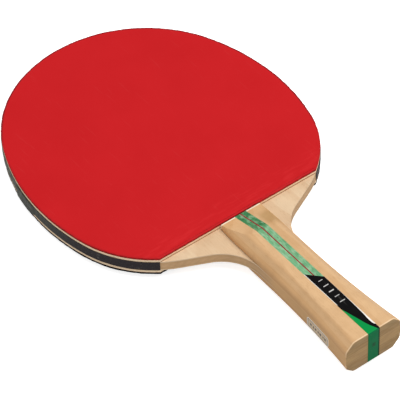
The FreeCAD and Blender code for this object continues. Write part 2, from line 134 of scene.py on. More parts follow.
def band(tree, value, low, high, soft):
    """1 where value lies between low and high, with a soft edge that wide."""
    rise = ramp(tree, value, low - soft, low + soft)
    fall = ramp(tree, value, high - soft, high + soft, 1.0, 0.0)
    return calc(tree, "MULTIPLY", rise, fall)


def mix(tree, share, first, second):
    """Colour mix: first at 0, second at 1."""
    blended = add(tree, "ShaderNodeMix", {"Factor": share}, data_type="RGBA")
    feed(tree, blended.inputs[6], first)
    feed(tree, blended.inputs[7], second)
    return blended.outputs[2]


def tint(tree, colour, mask, strength, over):
    """colour with another laid over it where mask is 1, at that strength."""
    return mix(tree, calc(tree, "MULTIPLY", mask, strength), colour, over)


def speckle(tree, point, scale, detail=2.0, rough=0.5):
    """Soft noise from 0 to 1; scale is how many blots go to a unit of length."""
    return add(tree, "ShaderNodeTexNoise", {
        "Vector": point, "Scale": scale, "Detail": detail, "Roughness": rough,
    }).outputs[0]


def stretch(tree, point, scale, move=(0, 0, 0), turn=(0, 0, 0)):
    """The point scaled per axis, then turned, then moved."""
    return add(tree, "ShaderNodeMapping", {
        "Vector": point, "Location": move, "Rotation": turn, "Scale": scale,
    }).outputs[0]


def axes_of(tree, point):
    """A point's X, Y and Z."""
    return add(tree, "ShaderNodeSeparateXYZ", {"Vector": point}).outputs


def curve(tree, value, corners, span):
    """A line through (value, height) corners, both first brought to 0-1 by span."""
    (low, high), (foot, top) = span
    share = add(tree, "ShaderNodeMapRange", {
        "Value": value, "From Min": low, "From Max": high,
    }).outputs["Result"]
    bent = add(tree, "ShaderNodeFloatCurve", {"Value": share})
    line = bent.mapping.curves[0]
    points = [((x - low) / (high - low), (y - foot) / (top - foot)) for x, y in corners]
    line.points[0].location = points[0]
    line.points[1].location = points[-1]
    for point in points[1:-1]:
        line.points.new(*point)
    bent.mapping.update()
    return calc(tree, "MULTIPLY_ADD", bent.outputs[0], top - foot, foot)


def shader_group(name, inputs, outputs):
    """An empty shader group with its sockets: (group, what its inputs put out, its end)."""
    tree = bpy.data.node_groups.new(name, "ShaderNodeTree")
    for label, kind, value in inputs:
        socket = tree.interface.new_socket(label, in_out="INPUT",
                                           socket_type="NodeSocket" + kind)
        if value is not None:
            socket.default_value = value
    for label, kind in outputs:
        tree.interface.new_socket(label, in_out="OUTPUT", socket_type="NodeSocket" + kind)
    return tree, tree.nodes.new("NodeGroupInput").outputs, tree.nodes.new("NodeGroupOutput")


def finish_group(tree, end, **values):
    """The shader group, once its results are joined to its end."""
    for label, value in values.items():
        feed(tree, end.inputs[label], value)
    return tree


def place(tree, group, **inputs):
    """A shader group put in a material. Its inputs are named with _ for a space."""
    made = tree.nodes.new("ShaderNodeGroup")
    made.node_tree = group
    for name, value in inputs.items():
        feed(tree, made.inputs[name.replace("_", " ")], value)
    return made.outputs


# ---------------------------------------------------------------- shared effects

def make_wood_grain():
    """Growth rings, fibres and pores of a board whose grain runs along Y, in millimetres."""
    tree, given, end = shader_group("wood_grain", (
        ("Point", "Vector", None),
        ("Light", "Color", (1, 1, 1, 1)),
        ("Dark", "Color", (0, 0, 0, 1)),
        ("Ring Spacing", "Float", 3.0),
        ("Rings", "Float", 0.3),
        ("Wander", "Float", 4.0),
        ("Fibres", "Float", 0.3),
        ("Pores", "Float", 0.3),
        ("Clouds", "Float", 0.3),
    ), (("Color", "Color"), ("Height", "Float"), ("Roughness", "Float")))
    point = given["Point"]
    x, _, z = axes_of(tree, point)
    wander = calc(tree, "SUBTRACT", speckle(tree, stretch(tree, point, (0.04, 0.009, 0.04)),
                                            1.0, 3.0), 0.5)
    reach = calc(tree, "SQRT", calc(tree, "ADD", calc(tree, "POWER", x, 2.0),
                                    calc(tree, "POWER", z, 2.0)))
    reach = calc(tree, "MULTIPLY_ADD", wander, given["Wander"], reach)
    turn = calc(tree, "FRACT", calc(tree, "DIVIDE", reach, given["Ring Spacing"]))
    ring = calc(tree, "MULTIPLY", ramp(tree, turn, 0.25, 0.9), ramp(tree, turn, 0.92, 1.0, 1, 0))
    fibre = calc(tree, "SUBTRACT", speckle(tree, stretch(tree, point, (2.6, 0.05, 2.6)),
                                           1.0, 4.0, 0.65), 0.5)
    pore = ramp(tree, speckle(tree, stretch(tree, point, (7.0, 0.35, 7.0)), 1.0, 1.0),
                0.62, 0.74)
    cloud = calc(tree, "SUBTRACT", speckle(tree, stretch(tree, point, (0.07, 0.022, 0.07)),
                                           1.0, 2.0), 0.5)
    tone = calc(tree, "MULTIPLY", ring, given["Rings"])
    tone = calc(tree, "MULTIPLY_ADD", fibre, given["Fibres"], tone)
    tone = calc(tree, "MULTIPLY_ADD", pore, given["Pores"], tone)
    tone = calc(tree, "MULTIPLY_ADD", cloud, given["Clouds"], tone)
    tone = calc(tree, "ADD", tone, 0.25, clamp=True)
    height = calc(tree, "MULTIPLY_ADD", pore, -0.8, calc(tree, "MULTIPLY", fibre, 0.9))
    height = calc(tree, "MULTIPLY_ADD", ring, -0.25, height)
    rough = calc(tree, "MULTIPLY_ADD", tone, 0.16, 0.5)
    return finish_group(tree, end, Color=mix(tree, tone, given["Light"], given["Dark"]),
                        Height=height, Roughness=rough)


def make_handling():
    """Dust specks, greasy smudges and fine scuffs that use leaves on a surface."""
    tree, given, end = shader_group("handling", (
        ("Point", "Vector", None),
        ("Smudge Size", "Float", 12.0),
        ("Smudges", "Float", 0.3),
        ("Specks", "Float", 0.3),
        ("Scuffs", "Float", 0.3),
    ), (("Smudge", "Float"), ("Speck", "Float"), ("Scuff", "Float")))
    point = given["Point"]
    grain = calc(tree, "DIVIDE", 1.0, given["Smudge Size"])
    smudge = ramp(tree, speckle(tree, point, grain, 3.0, 0.55), 0.42, 0.68)
    speck = ramp(tree, speckle(tree, point, 1.7, 1.0), 0.73, 0.8)
    scuff = ramp(tree, speckle(tree, stretch(tree, point, (0.9, 0.06, 0.9), turn=(0, 0, 0.7)),
                               1.0, 2.0), 0.64, 0.74)
    return finish_group(
        tree, end,
        Smudge=calc(tree, "MULTIPLY", smudge, given["Smudges"]),
        Speck=calc(tree, "MULTIPLY", speck, given["Specks"]),
        Scuff=calc(tree, "MULTIPLY", scuff, given["Scuffs"]),
    )


def make_rubber_skin():
    """Smooth pressed rubber: the pips below show faintly, and the skin is a little uneven."""
    tree, given, end = shader_group("rubber_skin", (
        ("Point", "Vector", None),
        ("Fresh", "Color", (1, 1, 1, 1)),
        ("Worn", "Color", (0, 0, 0, 1)),
        ("Streak", "Color", (1, 1, 1, 1)),
        ("Pip Pitch", "Float", 2.2),
        ("Edge Place", "Float", -25.0),
    ), (("Color", "Color"), ("Height", "Float"), ("Roughness", "Float")))
    point = given["Point"]
    x, y, _ = axes_of(tree, point)
    turn = calc(tree, "DIVIDE", 2 * math.pi, given["Pip Pitch"])
    three_ways = ((1.0, 0.577), (1.0, -0.577), (0.0, 1.1547))
    waves = []
    for across, along in three_ways:
        phase = calc(tree, "MULTIPLY", calc(tree, "MULTIPLY_ADD", x, across, calc(
            tree, "MULTIPLY", y, along)), turn)
        waves.append(calc(tree, "COSINE", phase))
    pips = calc(tree, "ADD", calc(tree, "ADD", waves[0], waves[1]), waves[2])
    pores = speckle(tree, point, 6.0, 2.0)
    broad = speckle(tree, point, 0.035, 3.0)
    near_edge = calc(tree, "SUBTRACT", y, given["Edge Place"])
    ripple = calc(tree, "MULTIPLY",
                  speckle(tree, stretch(tree, point, (0.12, 0.7, 1.0), turn=(0, 0, 0.12)),
                          1.0, 3.0),
                  ramp(tree, near_edge, 4.0, 30.0, 1.0, 0.12))
    height = calc(tree, "MULTIPLY_ADD", pips, 0.02, calc(tree, "MULTIPLY", pores, 0.12))
    height = calc(tree, "MULTIPLY_ADD", ripple, 0.7, height)
    share = calc(tree, "MULTIPLY_ADD", broad, 0.7, calc(tree, "MULTIPLY", pores, 0.3))
    share = ramp(tree, share, 0.2, 0.8)
    rough = calc(tree, "MULTIPLY_ADD", share, 0.1, 0.5)
    colour = mix(tree, share, given["Fresh"], given["Worn"])
    streaks = ramp(tree, ripple, 0.42, 0.7, 0.0, 0.28)
    return finish_group(tree, end, Color=mix(tree, streaks, colour, given["Streak"]),
                        Height=height, Roughness=rough)


def make_cut_foam():
    """Open cells of a sponge: painted shade in the pits, paler walls."""
    tree, given, end = shader_group("cut_foam", (
        ("Point", "Vector", None),
        ("Wall", "Color", (1, 1, 1, 1)),
        ("Pit", "Color", (0, 0, 0, 1)),
        ("Cell", "Float", 0.35),
    ), (("Color", "Color"), ("Height", "Float"), ("Roughness", "Float")))
    scale = calc(tree, "DIVIDE", 1.0, given["Cell"])
    cells = add(tree, "ShaderNodeTexVoronoi", {"Vector": given["Point"], "Scale": scale})
    depth = ramp(tree, cells.outputs["Distance"], 0.12, 0.5)
    stain_and_shade = speckle(tree, given["Point"], 0.5, 3.0)
    # the pits take the Pit colour, a painted shade in the hollows
    share = calc(tree, "MULTIPLY_ADD", stain_and_shade, 0.5, calc(tree, "MULTIPLY", depth, -0.45))
    share = calc(tree, "ADD", share, 0.3, clamp=True)
    rough = calc(tree, "MULTIPLY_ADD", share, 0.1, 0.85)
    return finish_group(tree, end, Color=mix(tree, share, given["Wall"], given["Pit"]),
                        Height=depth, Roughness=rough)


WOOD_GRAIN = make_wood_grain()
HANDLING = make_handling()
RUBBER_SKIN = make_rubber_skin()
CUT_FOAM = make_cut_foam()


# ---------------------------------------------------------------- materials

def new_material(name):
    """(material, its tree, its shader, the point on the object in millimetres)."""
    material = bpy.data.materials.new(name)
    material.use_nodes = True
    tree = material.node_tree
    shader = tree.nodes["Principled BSDF"]
    place_on = add(tree, "ShaderNodeTexCoord").outputs["Object"]
    point = stretch(tree, place_on, (1000, 1000, 1000))
    return material, tree, shader, point


def raise_grain(tree, shader, height, depth):
    """Bump of that depth in metres from a height that varies by about one."""
    bump = add(tree, "ShaderNodeBump", {"Height": height, "Distance": depth})
    feed(tree, shader.inputs["Normal"], bump.outputs[0])


def wood(name, light, dark, heart, spacing, rings, wander, fibres, pores, clouds,
         across=False, extra=None):
    """A wooden part. heart is where it lies from the middle of its growth rings; across
    turns the grain to run along X; extra adds the colours of that part's own edges."""
    material, tree, shader, point = new_material(name)
    board = stretch(tree, point, (1, 1, 1), move=heart,
                    turn=(0, 0, math.pi / 2 if across else 0))
    grain = place(tree, WOOD_GRAIN, Point=board, Light=light, Dark=dark,
                  Ring_Spacing=spacing, Rings=rings, Wander=wander, Fibres=fibres,
                  Pores=pores, Clouds=clouds)
    use_marks = place(tree, HANDLING, Point=point, Smudge_Size=16.0, Smudges=0.16,
                      Specks=0.25, Scuffs=0.12)
    colour, rough = grain["Color"], grain["Roughness"]
    if extra:
        colour = extra(tree, point, colour)
    worn = tuple(0.72 * value for value in dark[:3]) + (1.0,)
    colour = mix(tree, use_marks["Smudge"], colour, worn)
    colour = mix(tree, use_marks["Speck"], colour, worn)
    rough = calc(tree, "MULTIPLY_ADD", use_marks["Smudge"], -0.5, rough)
    rough = calc(tree, "ADD", rough, calc(tree, "MULTIPLY", use_marks["Scuff"], 0.6))
    feed(tree, shader.inputs["Base Color"], colour)
    feed(tree, shader.inputs["Roughness"], rough)
    shader.inputs["Specular IOR Level"].default_value = 0.2
    raise_grain(tree, shader, grain["Height"], 0.05 * MM)
    return material


def butt_grain(tree, point, colour, strength):
    """Sawn end grain on the butt: fine lines along X, olive and dull."""
    y = axes_of(tree, point)["Y"]
    end = ramp(tree, y, BUTT / MM + 0.2, BUTT / MM + 0.06, 0.0, strength)
    lines = ramp(tree, speckle(tree, stretch(tree, point, (0.1, 1.0, 1.9)), 1.0, 3.0),
                 0.36, 0.64)
    return mix(tree, end, colour, mix(tree, lines, paint(140, 122, 80), paint(84, 74, 42)))


def scale_light(tree, point, colour):
    """A scale's colours: painted warm shade down its sides, painted highlights on the arrises at
    its two ends, glue and painted shade in the joint along the blade's neck, and a patch of
    painted shade on the right of the forehand's slope."""
    x, y, z = axes_of(tree, point)
    height = calc(tree, "ABSOLUTE", z)
    # painted warm shade down the scale's sides, below its top
    side = ramp(tree, height, SCALE_TOP / MM - 1.0, SCALE_TOP / MM - 6.0)
    colour = tint(tree, colour, side, 0.3, paint(222, 158, 88))
    # painted highlight on the arris at the scale's front
    front_highlight = ramp(tree, y, SCALE_FRONT / MM - 1.3, SCALE_FRONT / MM - 0.6)
    colour = tint(tree, colour, front_highlight, 0.9, paint(254, 238, 212))
    # painted highlight on the arris at the butt
    arris_highlight = band(tree, y, BUTT / MM + 0.22, BUTT / MM + 0.75, 0.12)
    colour = tint(tree, colour, arris_highlight, 0.45, paint(248, 226, 190))
    # glue and painted shade in the joint along the scale's foot by the neck
    glue_and_joint_shade = ramp(tree, height, SCALE_LOW.z / MM + 0.5, SCALE_LOW.z / MM + 0.1)
    glue_and_joint_shade = calc(tree, "MULTIPLY", glue_and_joint_shade, ramp(tree, y, NECK_FOOT, NECK_OPEN))
    colour = tint(tree, colour, glue_and_joint_shade, 0.8, paint(96, 58, 30))
    # a patch of painted shade on the right of the slope
    slope_shade = calc(tree, "MULTIPLY", band(tree, x, SLOPE_SHADE_SPOT.x - 3.5, SLOPE_SHADE_SPOT.x + 4.0, 1.6),
                 band(tree, y, SLOPE_SHADE_SPOT.y - 6.0, SLOPE_SHADE_SPOT.y + 5.0, 3.0))
    colour = tint(tree, colour, slope_shade, 0.6, paint(172, 134, 80))
    return butt_grain(tree, point, colour, 0.6)


def ply_light(tree, point, colour):
    """A ply's colours: a painted highlight on the arris round the neck, a brown line of glue and
    painted shade beside the rubber, and wood yellowed by the hand between the scales."""
    _, y, z = axes_of(tree, point)
    height = calc(tree, "ABSOLUTE", z)
    face, rubber_edge = FACE_TOP / MM, RUBBER_EDGE / MM
    # painted highlight on the arris at the top of the neck's edge
    arris_highlight = band(tree, height, face - 0.42, face - 0.06, 0.03)
    arris_highlight = calc(tree, "MULTIPLY", arris_highlight, ramp(tree, y, NECK_FOOT, NECK_OPEN - 2.0))
    colour = tint(tree, colour, arris_highlight, 0.6, paint(246, 224, 190))
    # glue and painted shade under the rubber's edge, a brown line on the blade
    stain_and_shade = calc(tree, "MULTIPLY", ramp(tree, y, rubber_edge - 0.42, rubber_edge - 0.24),
                 ramp(tree, height, face - 0.05, face - 0.01))
    colour = tint(tree, colour, stain_and_shade, 0.75, paint(132, 66, 40))
    held = ramp(tree, y, NECK_FOOT + 8.0, NECK_FOOT - 6.0, 0.0, 0.85)
    colour = mix(tree, held, colour, paint(222, 176, 122))
    return butt_grain(tree, point, colour, 0.5)


def dyed(name):
    """Green-dyed veneer strip: mottled, and greener where the slope cuts through the dye."""
    material, tree, shader, point = new_material(name)
    board = stretch(tree, point, (1, 1, 1), move=(0, 0, 60))
    grain = place(tree, WOOD_GRAIN, Point=board, Light=paint(118, 178, 130),
                  Dark=paint(32, 122, 70), Ring_Spacing=2.4, Rings=0.25, Wander=3.0,
                  Fibres=1.3, Pores=0.6, Clouds=0.7)
    deep = place(tree, WOOD_GRAIN, Point=board, Light=paint(60, 142, 84),
                 Dark=paint(8, 90, 44), Ring_Spacing=2.4, Rings=0.25, Wander=3.0,
                 Fibres=1.2, Pores=0.7, Clouds=0.7)
    y = axes_of(tree, point)["Y"]
    crest = RAMP_CREST / MM
    slope = ramp(tree, y, crest - 2.5, crest + 2.0)
    blotch = ramp(tree, speckle(tree, stretch(tree, point, (0.6, 0.3, 0.6)), 1.0, 2.0),
                  0.42, 0.7)
    streak = ramp(tree, speckle(tree, stretch(tree, point, (1.3, 0.22, 1.3)), 1.0, 3.0),
                  0.5, 0.68)
    colour = mix(tree, slope, grain["Color"], deep["Color"])
    colour = tint(tree, colour, blotch, 0.5, paint(170, 202, 166))
    worn = ramp(tree, y, crest + 14.0, crest + 2.0)
    worn = calc(tree, "MULTIPLY_ADD", calc(tree, "MULTIPLY", worn, slope), 0.5, 0.35)
    colour = tint(tree, colour, streak, worn, paint(66, 116, 72))
    feed(tree, shader.inputs["Base Color"], colour)
    feed(tree, shader.inputs["Roughness"], grain["Roughness"])
    shader.inputs["Specular IOR Level"].default_value = 0.35
    raise_grain(tree, shader, grain["Height"], 0.05 * MM)
    return material


def rubber(name, fresh, worn, streak, rim, dust):
    """Pressed rubber, with painted shade along its cut rim, most of all right of the tip."""
    material, tree, shader, point = new_material(name)
    skin = place(tree, RUBBER_SKIN, Point=point, Fresh=fresh, Worn=worn, Streak=streak,
                 Pip_Pitch=PIP_PITCH / MM, Edge_Place=RUBBER_EDGE / MM)
    marks = place(tree, HANDLING, Point=point, Smudge_Size=22.0, Smudges=0.1, Specks=0.2,
                  Scuffs=0.08)
    x, y, z = axes_of(tree, point)
    height = calc(tree, "ABSOLUTE", z)
    # painted shade on the cut rim, strongest on the far side right of the tip
    cut = ramp(tree, height, RUBBER_TOP / MM - 0.001, RUBBER_TOP / MM - 0.006)
    past_middle = calc(tree, "MULTIPLY_ADD", x, 0.7, y)
    rim_shade = ramp(tree, past_middle, 35.0, 65.0, 0.15, 0.9)
    colour = tint(tree, skin["Color"], cut, rim_shade, rim)
    colour = mix(tree, marks["Speck"], colour, dust)
    colour = mix(tree, marks["Scuff"], colour, dust)
    rough = calc(tree, "MULTIPLY_ADD", marks["Smudge"], -0.6, skin["Roughness"])
    feed(tree, shader.inputs["Base Color"], colour)
    feed(tree, shader.inputs["Roughness"], rough)
    shader.inputs["Specular IOR Level"].default_value = 0.12
    raise_grain(tree, shader, skin["Height"], 0.06 * MM)
    return material


def foam(name):
    """Cut sponge: cream cells with painted shade in their pits, and glue with painted shade on
    its face under the pips.
    """
    material, tree, shader, point = new_material(name)
    # Pit is the colour of the painted shade in the foam's cells
    cells = place(tree, CUT_FOAM, Point=point, Wall=paint(255, 230, 196),
                  Pit=paint(252, 208, 166), Cell=0.34)
    height = calc(tree, "ABSOLUTE", axes_of(tree, point)["Z"])
    # glue and painted shade on the sponge's face in the gap under the skin
    glue_and_shade_under_pips = ramp(tree, height, SPONGE_HIGH.z / MM - 0.08, SPONGE_HIGH.z / MM - 0.02)
    colour = mix(tree, glue_and_shade_under_pips, cells["Color"], paint(206, 84, 66))
    feed(tree, shader.inputs["Base Color"], colour)
    feed(tree, shader.inputs["Roughness"], cells["Roughness"])
    shader.inputs["Specular IOR Level"].default_value = 0.15
    raise_grain(tree, shader, cells["Height"], 0.12 * MM)
    return material


def tape(name):
    """Dark plastic tape: creased across, scuffed and dusty, with a painted sheen that greys it
    towards the tip.
    """
    material, tree, shader, point = new_material(name)
    marks = place(tree, HANDLING, Point=point, Smudge_Size=9.0, Smudges=0.5, Specks=0.5,
                  Scuffs=0.6)
    crease = ramp(tree, speckle(tree, stretch(tree, point, (0.5, 0.5, 0.12)), 1.0, 3.0),
                  0.3, 0.7)
    fleck = speckle(tree, point, 3.0, 2.0)
    # painted sheen, greyer towards the tip
    grazing_sheen = ramp(tree, axes_of(tree, point)["Y"], 5.0, 75.0)
    colour = mix(tree, grazing_sheen, paint(40, 32, 36), paint(92, 98, 86))
    colour = tint(tree, colour, crease, 0.5, paint(36, 33, 35))
    colour = tint(tree, colour, marks["Scuff"], 0.5, paint(130, 130, 122))
    colour = mix(tree, marks["Speck"], colour, paint(160, 150, 135))
    rough = calc(tree, "MULTIPLY_ADD", fleck, 0.25, 0.3)
    feed(tree, shader.inputs["Base Color"], colour)
    feed(tree, shader.inputs["Roughness"], rough)
    shader.inputs["Specular IOR Level"].default_value = 0.22
    raise_grain(tree, shader, calc(tree, "MULTIPLY_ADD", crease, 1.2, fleck), 0.08 * MM)
    return material


def glue(name):
    """Dry glue film: lumpy and yellowed."""
    material, tree, shader, point = new_material(name)
    lumps = speckle(tree, point, 1.2, 3.0)
    feed(tree, shader.inputs["Base Color"], mix(tree, lumps, paint(214, 190, 140),
                                                paint(150, 120, 76)))
    feed(tree, shader.inputs["Roughness"], calc(tree, "MULTIPLY_ADD", lumps, 0.3, 0.25))
    raise_grain(tree, shader, lumps, 0.05 * MM)
    return material


def printed_strap(name):
    """Handle label: a black field with five plain bars, a green wedge and white margins,
    folded over the butt as a green band. up is the way from the butt."""
    material, tree, shader, point = new_material(name)
    x, y, z = axes_of(tree, point)
    up = calc(tree, "SUBTRACT", y, BUTT / MM)
    half = LABEL_EDGE / MM
    sharp, soft = 0.05, 0.08
    black, white, grey = paint(6, 5, 6), paint(240, 236, 228), paint(205, 203, 200)
    green, deep_green = paint(0, 140, 66), paint(4, 112, 66)

    wedge_top = 19.7
    green_line = curve(tree, up, ((-0.9, 2.6), (0.0, 2.35), (5.2, 0.3), (11.9, -1.4),
                                  (17.8, -2.9), (wedge_top, -3.5)),
                       ((-0.9, wedge_top), (-4.0, 4.0)))
    black_line = curve(tree, up, ((-0.9, 3.7), (2.5, 3.55), (3.5, 2.95), (5.3, 2.6),
                                  (12.0, 2.95), (20.3, 3.25), (30.1, 3.4), (49.1, 3.4)),
                       ((-0.9, 49.1), (-4.0, 4.0)))
    in_green = ramp(tree, calc(tree, "SUBTRACT", green_line, x), -sharp, sharp)
    in_green = calc(tree, "MULTIPLY", in_green,
                    ramp(tree, up, wedge_top + 0.2, wedge_top - 0.2))
    in_black = ramp(tree, calc(tree, "SUBTRACT", black_line, x), -sharp, sharp)
    left_margin = ramp(tree, x, -half + 0.3, -half + 0.16)
    left_margin = calc(tree, "MULTIPLY", left_margin, ramp(tree, up, 22.1, 24.1))

    colour = mix(tree, in_black, white, black)
    for middle, thick, left, right in (
        (40.2, 0.34, -0.8, 1.6), (36.1, 0.45, -1.0, 1.9), (31.9, 0.6, -1.1, 1.8),
        (27.8, 0.34, -0.9, 1.8), (23.8, 0.42, -1.0, 2.0),
    ):
        bar = calc(tree, "MULTIPLY", band(tree, x, left, right, soft),
                   band(tree, up, middle - thick / 2, middle + thick / 2, soft))
        colour = mix(tree, bar, colour, grey)
    colour = mix(tree, in_green, colour, green)
    colour = mix(tree, left_margin, colour, white)

    over_butt = ramp(tree, up, 0.25, 0.05)
    edge_strip = ramp(tree, x, half - 0.75, half - 0.6)
    mark = calc(tree, "MULTIPLY", band(tree, x, -0.9, 1.0, 0.25), band(tree, z, -0.6, 2.0, 0.35))
    butt_colour = mix(tree, edge_strip, deep_green, paint(14, 52, 36))
    butt_colour = tint(tree, butt_colour, mark, 0.55, paint(46, 52, 46))
    colour = mix(tree, over_butt, colour, butt_colour)

    marks = place(tree, HANDLING, Point=point, Smudge_Size=5.0, Smudges=0.3, Specks=0.3,
                  Scuffs=0.1)
    colour = mix(tree, marks["Scuff"], colour, paint(120, 118, 112))
    rough = calc(tree, "MULTIPLY_ADD", marks["Smudge"], 0.5, 0.3)
    feed(tree, shader.inputs["Base Color"], colour)
    feed(tree, shader.inputs["Roughness"], rough)
    shader.inputs["Specular IOR Level"].default_value = 0.08
    raise_grain(tree, shader, speckle(tree, stretch(tree, point, (1.6, 0.2, 1.6)), 1.0, 3.0),
                0.04 * MM)
    return material


def printed_patch(name):
    """Side label: clear film with a rounded frame line and a row of plain grey bars."""
    material, tree, shader, point = new_material(name)
    _, y, z = axes_of(tree, point)
    middle_y = (SIDE_LOW.y + SIDE_HIGH.y) / 2 / MM
    middle_z = (SIDE_LOW.z + SIDE_HIGH.z) / 2 / MM
    half_y = (SIDE_HIGH.y - SIDE_LOW.y) / 2 / MM
    half_z = (SIDE_HIGH.z - SIDE_LOW.z) / 2 / MM
    corner = 1.6
    bars = ((1.2, 1.5), (0.7, 1.2), (1.3, 1.5), (0.9, 1.5), (1.3, 1.2), (0.8, 1.5), (1.2, 1.4))
    first, pitch = 2.1, 1.95
    out_y = calc(tree, "SUBTRACT", calc(tree, "ABSOLUTE", calc(tree, "SUBTRACT", y, middle_y)),
                 half_y - corner)
    out_z = calc(tree, "SUBTRACT", calc(tree, "ABSOLUTE", calc(tree, "SUBTRACT", z, middle_z)),
                 half_z - corner)
    out_y = calc(tree, "MAXIMUM", out_y, 0.0)
    out_z = calc(tree, "MAXIMUM", out_z, 0.0)
    reach = calc(tree, "SQRT", calc(tree, "ADD", calc(tree, "POWER", out_y, 2.0),
                                    calc(tree, "POWER", out_z, 2.0)))
    inward = calc(tree, "SUBTRACT", corner, reach)
    rim = band(tree, inward, 0.5, 0.8, 0.06)
    pale = ramp(tree, inward, 0.55, 0.45)
    clouds = speckle(tree, point, 0.6, 2.0)
    colour = mix(tree, clouds, paint(222, 200, 168), paint(206, 180, 146))
    colour = mix(tree, pale, colour, paint(250, 243, 230))
    colour = mix(tree, rim, colour, paint(74, 62, 54))
    for number, (wide, tall) in enumerate(bars):
        left = middle_y - half_y + first + number * pitch
        bar = calc(tree, "MULTIPLY", band(tree, y, left, left + wide, 0.1),
                   band(tree, z, middle_z - tall / 2, middle_z + tall / 2, 0.12))
        colour = tint(tree, colour, bar, 0.92, paint(52, 46, 46))
    marks = place(tree, HANDLING, Point=point, Smudge_Size=3.0, Smudges=0.3, Specks=0.4,
                  Scuffs=0.3)
    colour = mix(tree, marks["Scuff"], colour, paint(150, 138, 120))
    feed(tree, shader.inputs["Base Color"], colour)
    feed(tree, shader.inputs["Roughness"], calc(tree, "MULTIPLY_ADD", marks["Smudge"], 0.5,
                                                0.25))
    raise_grain(tree, shader, speckle(tree, point, 0.8, 2.0), 0.04 * MM)
    return material


FINISHES = {
    "core_wood": wood(
        "core_wood", paint(220, 182, 138), paint(178, 136, 92), heart=(0, 0, 30), spacing=2.6,
        rings=0.14, wander=3.0, fibres=0.4, pores=0.3, clouds=0.3, extra=ply_light),
    "inner_wood": wood(
        "inner_wood", paint(212, 174, 130), paint(176, 132, 88), heart=(0, 0, 45), spacing=1.9,
        rings=0.1, wander=3.0, fibres=0.4, pores=0.3, clouds=0.3, across=True,
        extra=ply_light),
    "face_wood": wood(
        "face_wood", paint(230, 205, 171), paint(200, 161, 121), heart=(14, 0, 90),
        spacing=4.5, rings=0.26, wander=9.0, fibres=0.5, pores=0.35, clouds=0.35,
        extra=ply_light),
    "scale_wood": wood(
        "scale_wood", paint(223, 186, 142), paint(188, 137, 84), heart=(26, 0, 70),
        spacing=3.6, rings=0.18, wander=7.0, fibres=0.42, pores=0.3, clouds=0.32,
        extra=scale_light),
    "dyed_stripe": dyed("dyed_stripe"),
    "stripe_line": wood(
        "stripe_line", paint(164, 10, 38), paint(108, 4, 24), heart=(0, 0, 50), spacing=1.0,
        rings=0.3, wander=2.0, fibres=0.6, pores=0.3, clouds=0.4),
    "glue": glue("glue"),
    "sponge": foam("sponge_foam"),
    # rim is the colour of the painted shade along each rubber's cut rim
    "red_rubber": rubber(
        "red_rubber_skin", fresh=paint(196, 20, 26), worn=paint(190, 16, 22),
        streak=paint(214, 42, 46), rim=paint(134, 22, 28), dust=paint(212, 82, 80)),
    "black_rubber": rubber(
        "black_rubber_skin", fresh=paint(24, 23, 25), worn=paint(17, 16, 18),
        streak=paint(32, 31, 33), rim=paint(16, 15, 16), dust=paint(92, 90, 88)),
    "tape": tape("edge_tape_film"),
    "handle_label": printed_strap("handle_label_print"),
    "side_label": printed_patch("side_label_print"),
}

for node in nodes.values():
    slot_name = node.data.materials[0].name.split(".")[0]
    node.data.materials[0] = FINISHES[slot_name]


# ---------------------------------------------------------------- building helpers

def rim_of(node, height):
    """Corners round a node's flat face at that height, in order, as (x, y)."""
    shell = bmesh.new()
    shell.from_mesh(nodes[node].data)
    bmesh.ops.remove_doubles(shell, verts=shell.verts, dist=MERGE)
    rim = [
        edge for edge in shell.edges
        if all(abs(corner.co.z - height) < MERGE for corner in edge.verts)
        and sum(abs(face.normal.z) > 0.9 for face in edge.link_faces) == 1
    ]
    beside = {}
    for edge in rim:
        first, second = edge.verts
        beside.setdefault(first.index, []).append(second.index)
        beside.setdefault(second.index, []).append(first.index)
    shell.verts.ensure_lookup_table()
    places = {index: shell.verts[index].co.xy.copy() for index in beside}
    shell.free()
    start = next(iter(beside))
    order = [start, beside[start][0]]
    while True:
        onward = [index for index in beside[order[-1]] if index != order[-2]]
        if onward[0] == start:
            break
        order.append(onward[0])
    return [places[index] for index in order]


def head_path():
    """The rubber's outline from its right corner, round the tip, to its left corner."""
    points = rim_of("forehand_topsheet", RUBBER_TOP)
    area = sum(a.x * b.y - b.x * a.y for a, b in zip(points, points[1:] + points[:1]))
    if area < 0:
        points.reverse()
    corners = [p for p in points if abs(p.y - RUBBER_EDGE) < 1e-5]
    start = points.index(max(corners, key=lambda p: p.x))
    return points[start:] + points[:start]


def smooth_steps(points, step):
    """The path through points, rounded between them and divided into even steps."""
    dense = []
    for i in range(len(points) - 1):
        before = points[max(i - 1, 0)]
        a, b = points[i], points[i + 1]
        after = points[min(i + 2, len(points) - 1)]
        count = max(1, round((b - a).length / step))
        for k in range(count):
            t = k / count
            dense.append(0.5 * (
                2 * a + (b - before) * t + (2 * before - 5 * a + 4 * b - after) * t ** 2
                + (3 * a - before - 3 * b + after) * t ** 3
            ))
    return dense + [points[-1]]


def outward(points, closed):
    """Unit normals pointing out of a path that runs anticlockwise."""
    normals = []
    last = len(points) - 1
    for i in range(len(points)):
        before = points[i - 1] if closed or i else points[0]
        after = points[(i + 1) % len(points)] if closed or i < last else points[last]
        along = (after - before).normalized()
        normals.append(Vector((along.y, -along.x)))
    return normals


def finished(name, shell, material):
    """A named object from a bmesh, in place, with one material."""
    bmesh.ops.recalc_face_normals(shell, faces=shell.faces)
    mesh = bpy.data.meshes.new(name)
    shell.to_mesh(mesh)
    shell.free()
    mesh.materials.append(material)
    made = bpy.data.objects.new(name, mesh)
    bpy.context.scene.collection.objects.link(made)
    return made


def join_rings(shell, rings):
    """Quads between neighbouring rings of corners."""
    for low, high in zip(rings, rings[1:]):
        for i in range(len(low)):
            j = (i + 1) % len(low)
            shell.faces.new((low[i], low[j], high[j], high[i]))


